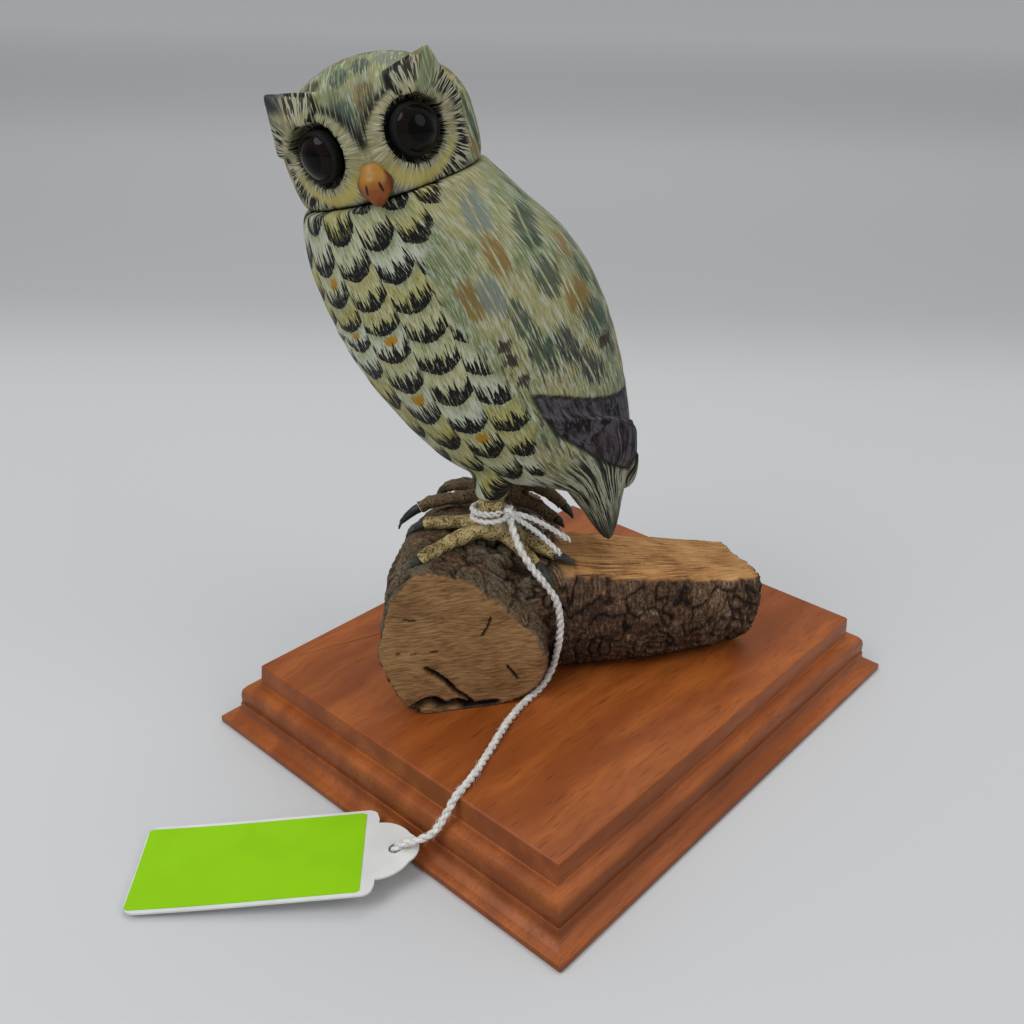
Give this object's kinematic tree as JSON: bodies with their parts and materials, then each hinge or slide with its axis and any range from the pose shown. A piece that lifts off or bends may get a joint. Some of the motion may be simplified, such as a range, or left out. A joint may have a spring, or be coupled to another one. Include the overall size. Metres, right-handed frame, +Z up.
{
  "type": "owl figurine",
  "caption": "Carved and painted wooden owl with glass eyes, perched on a forked piece of driftwood on a moulded hardwood plinth, with a plain swing tag on a cotton string round one leg.",
  "frame": {"origin": "middle of the plinth's underside, which is the middle of the bottom of the box round everything but the tag and its string", "axes": "+Z up; the plinth's short front edge faces -Y and its long edges run along Y; the body faces the front left and the head looks to the front right"},
  "size_m": [0.127, 0.2119, 0.1808],
  "materials": {
    "stained_hardwood": "satin clear lacquer over an orange-brown stain",
    "zinc_steel": "yellow zinc plate",
    "driftwood": "weathered bark with one sawn and one split face",
    "painted_basswood": "matt artist's paint over carved and burned feather texture",
    "birch_dowel": "bare",
    "black_glass": "polished, painted behind",
    "black_putty": "matt black paint over epoxy putty",
    "steel_wire": "bare wire",
    "orange_putty": "satin orange paint over epoxy putty",
    "yellow_putty": "matt yellow paint, stippled, over epoxy putty",
    "brown_putty": "matt brown paint over epoxy putty",
    "claw_putty": "satin dark paint over epoxy putty",
    "cotton_string": "twisted white cotton",
    "white_card": "matt card",
    "green_label": "printed plain green, no lettering"
  },
  "bodies": {
    "root": {"plinth": "stained_hardwood", "log_screws": "zinc_steel", "driftwood_log": "driftwood", "owl_body": "painted_basswood", "neck_dowel": "birch_dowel", "owl_head": "painted_basswood", "left_eye": "black_glass", "right_eye": "black_glass", "left_eye_rim": "black_putty", "right_eye_rim": "black_putty", "left_eye_stem": "steel_wire", "right_eye_stem": "steel_wire", "beak": "orange_putty", "left_foot": "yellow_putty", "right_foot": "brown_putty", "left_claws": "claw_putty", "right_claws": "claw_putty", "left_leg_pin": "steel_wire", "right_leg_pin": "steel_wire", "tag_string": "cotton_string", "string_knot": "cotton_string", "stopper_knot": "cotton_string", "tag_card": "white_card", "tag_label": "green_label"}
  },
  "joints": []
}
